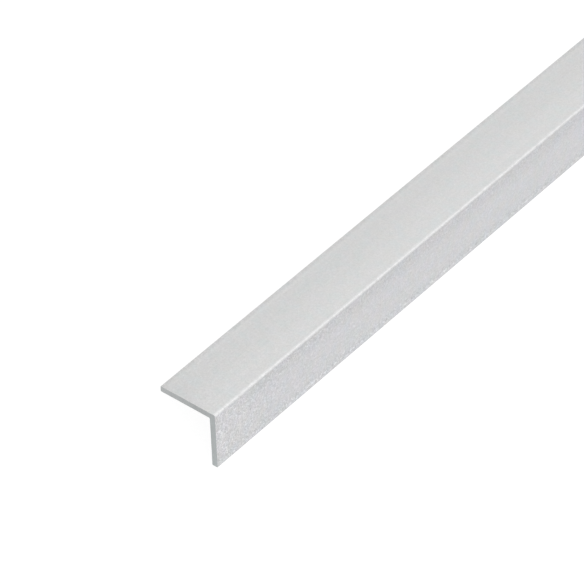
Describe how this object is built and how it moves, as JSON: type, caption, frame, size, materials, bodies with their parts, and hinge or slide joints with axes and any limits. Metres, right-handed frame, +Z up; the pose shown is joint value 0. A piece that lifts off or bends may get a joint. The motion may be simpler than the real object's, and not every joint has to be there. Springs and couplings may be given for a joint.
{
  "type": "equal angle section",
  "caption": "Straight equal-leg angle bar: two flat legs meeting at a right angle, with a rounded heel and square-cut ends.",
  "frame": {"origin": "on the floor under the heel, half way along the bar", "axes": "+Y along the bar, away from the end nearest in the picture; +Z up, from the two toes towards the heel, bisecting the right angle between the legs; +X from leg a towards leg b"},
  "size_m": [0.028, 1, 0.0152],
  "materials": {
    "mill_finish_aluminium": "mill finish, satin"
  },
  "bodies": {
    "root": {"angle_section": "mill_finish_aluminium"}
  },
  "joints": []
}
